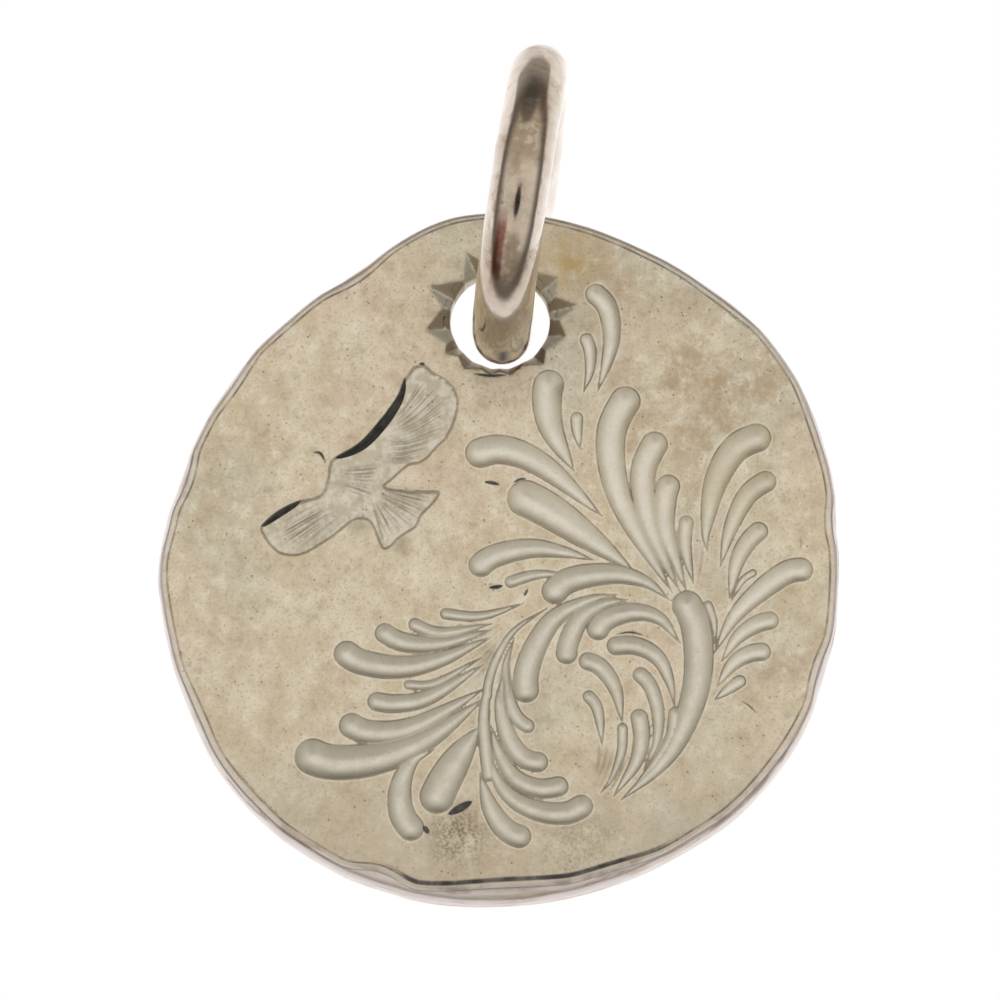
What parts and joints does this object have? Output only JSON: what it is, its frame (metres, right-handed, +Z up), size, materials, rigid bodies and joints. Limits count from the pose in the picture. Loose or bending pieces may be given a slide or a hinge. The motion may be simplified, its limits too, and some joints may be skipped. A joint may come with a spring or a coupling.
{
  "type": "medallion pendant",
  "caption": "Thick hammered round silver medallion with a notched hanging hole, an engraved bird and leaf scroll, and a round-wire ring that leans in the hole.",
  "frame": {"origin": "centre of the flat pad on the disc's back, at the disc's centre", "axes": "+Z up towards the hanging hole, +X to the right when looking at the engraved front, +Y out of the back, so the front faces -Y"},
  "size_m": [0.0341, 0.0162, 0.0431],
  "materials": {
    "engraved_silver": "matt tarnished silver, warm champagne grey, brown in the hollows",
    "polished_silver": "worn bright silver with a light warm tarnish",
    "silver_solder": "filed and polished flush, slightly yellower than the ring"
  },
  "bodies": {
    "medallion": {"medallion_disc": "engraved_silver"},
    "ring": {"hanging_ring": "polished_silver", "ring_solder_seam": "silver_solder"}
  },
  "joints": [
    {"name": "ring_lean", "type": "hinge", "parent": "medallion", "child": "ring", "pos_m": [0.0002, -0.00105, 0.01157], "axis": [0.989, 0, -0.1478], "range_deg": [-57, 0]}
  ]
}
